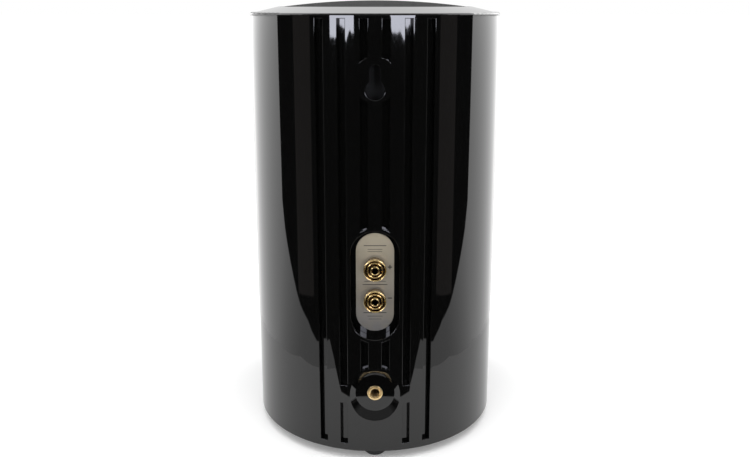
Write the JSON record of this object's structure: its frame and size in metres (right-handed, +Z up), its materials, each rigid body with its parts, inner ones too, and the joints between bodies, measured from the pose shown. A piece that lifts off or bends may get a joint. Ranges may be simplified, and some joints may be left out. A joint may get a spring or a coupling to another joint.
{
  "type": "bookshelf speaker",
  "caption": "Compact two-way bookshelf speaker with a fluted round back, recessed binding posts, wall-mount keyhole and insert, bowed cloth front and a passive radiator under a domed top.",
  "frame": {"origin": "bottom centre of the speaker, on the surface its feet stand on", "axes": "+Z up, front faces -Y, back with the terminals faces +Y, +X to the viewer's right when facing the front"},
  "size_m": [0.155, 0.168, 0.2715],
  "materials": {
    "gloss_black_plastic": "high gloss",
    "inner_plastic": "fine grain",
    "black_rubber": "matt",
    "black_foam": "closed-cell foam",
    "black_screws": "black oxide",
    "insert_brass": "machined",
    "satin_plate": "satin brushed",
    "gold_plate": "polished gold plate",
    "zinc_steel": "zinc plated",
    "grille_cloth": "open weave",
    "painted_basket": "textured black",
    "ferrite": "fired ferrite",
    "coil_former": "thin foil",
    "copper_wire": "enamelled",
    "cone_material": "mineral-filled",
    "spider_cloth": "resin treated",
    "dome_silk": "coated silk",
    "circuit_board": "solder mask",
    "capacitor_film": "satin",
    "resistor_ceramic": "fired",
    "polyester_wool": "loose fibre",
    "lead_insulation": "insulated"
  },
  "bodies": {
    "cabinet": {"rear_shell": "gloss_black_plastic", "rubber_feet": "black_rubber", "foot_screws": "black_screws", "threaded_insert": "insert_brass", "keyhole_cover": "inner_plastic", "terminal_cup": "gloss_black_plastic", "terminal_gasket": "black_foam", "terminal_screws": "black_screws", "label_plate": "satin_plate", "post_studs": "gold_plate", "post_insulators": "inner_plastic", "solder_tabs": "gold_plate", "post_nuts": "zinc_steel", "front_baffle": "inner_plastic", "baffle_screws": "black_screws", "grille_sockets": "black_rubber", "woofer_basket": "painted_basket", "woofer_gasket": "black_foam", "driver_screws": "black_screws", "woofer_top_plate": "zinc_steel", "woofer_magnet": "ferrite", "woofer_pole": "zinc_steel", "woofer_terminals": "inner_plastic", "woofer_surround": "black_rubber", "woofer_spider": "spider_cloth", "tweeter_faceplate": "inner_plastic", "tweeter_gasket": "black_foam", "tweeter_can": "painted_basket", "tweeter_top_plate": "zinc_steel", "tweeter_magnet": "ferrite", "tweeter_pole": "zinc_steel", "tweeter_surround": "dome_silk", "radiator_gasket": "black_foam", "radiator_frame": "inner_plastic", "radiator_surround": "black_rubber", "crossover_board": "circuit_board", "board_standoffs": "inner_plastic", "board_screws": "black_screws", "crossover_inductors": "copper_wire", "crossover_capacitors": "capacitor_film", "crossover_resistor": "resistor_ceramic", "damping_wool": "polyester_wool", "driver_leads": "lead_insulation", "input_leads": "lead_insulation"},
    "woofer_cone_assembly": {"woofer_coil_former": "coil_former", "woofer_voice_coil": "copper_wire", "woofer_cone": "cone_material", "woofer_dust_cap": "cone_material"},
    "tweeter_dome_assembly": {"tweeter_dome": "dome_silk", "tweeter_coil": "copper_wire"},
    "radiator_assembly": {"radiator_diaphragm": "cone_material", "radiator_weight": "zinc_steel"},
    "clamp_upper": {"post_clamp_upper": "gold_plate"},
    "clamp_lower": {"post_clamp_lower": "gold_plate"},
    "cap_upper": {"post_cap_upper": "gold_plate"},
    "cap_lower": {"post_cap_lower": "gold_plate"},
    "front_grille": {"front_grille_cloth": "grille_cloth", "front_grille_frame": "inner_plastic"},
    "top_grille": {"top_grille_cloth": "grille_cloth", "top_grille_frame": "inner_plastic"}
  },
  "joints": [
    {"name": "woofer_travel", "type": "slide", "parent": "cabinet", "child": "woofer_cone_assembly", "axis": [0, -1, 0], "range_m": [-0.004, 0.004], "stiffness_N_per_m": 1100, "deforming": ["woofer_surround", "woofer_spider"]},
    {"name": "tweeter_travel", "type": "slide", "parent": "cabinet", "child": "tweeter_dome_assembly", "axis": [0, -1, 0], "range_m": [-0.0004, 0.0004], "stiffness_N_per_m": 300, "deforming": ["tweeter_surround"]},
    {"name": "radiator_travel", "type": "slide", "parent": "cabinet", "child": "radiator_assembly", "axis": [0, 0, 1], "range_m": [-0.005, 0.005], "stiffness_N_per_m": 600, "springref_m": 0.0003, "deforming": ["radiator_surround"]},
    {"name": "post_upper_travel", "type": "slide", "parent": "cabinet", "child": "clamp_upper", "axis": [0, 1, 0], "range_m": [0, 0.0035]},
    {"name": "post_upper_unscrew", "type": "hinge", "parent": "clamp_upper", "child": "cap_upper", "pos_m": [0, 0.076, 0.12012], "axis": [0, 1, 0], "range_deg": [0, 1801]},
    {"name": "post_lower_travel", "type": "slide", "parent": "cabinet", "child": "clamp_lower", "axis": [0, 1, 0], "range_m": [0, 0.0035]},
    {"name": "post_lower_unscrew", "type": "hinge", "parent": "clamp_lower", "child": "cap_lower", "pos_m": [0, 0.076, 0.10107], "axis": [0, 1, 0], "range_deg": [0, 1801]},
    {"name": "front_grille_pull", "type": "slide", "parent": "cabinet", "child": "front_grille", "axis": [0, -1, 0], "range_m": [0, 0.03]},
    {"name": "top_grille_lift", "type": "slide", "parent": "cabinet", "child": "top_grille", "axis": [0, 0, 1], "range_m": [0, 0.015]}
  ],
  "couplings": [
    {"joint": "post_upper_unscrew", "follows": "post_upper_travel", "rad_per_m": 8976},
    {"joint": "post_lower_unscrew", "follows": "post_lower_travel", "rad_per_m": 8976}
  ]
}
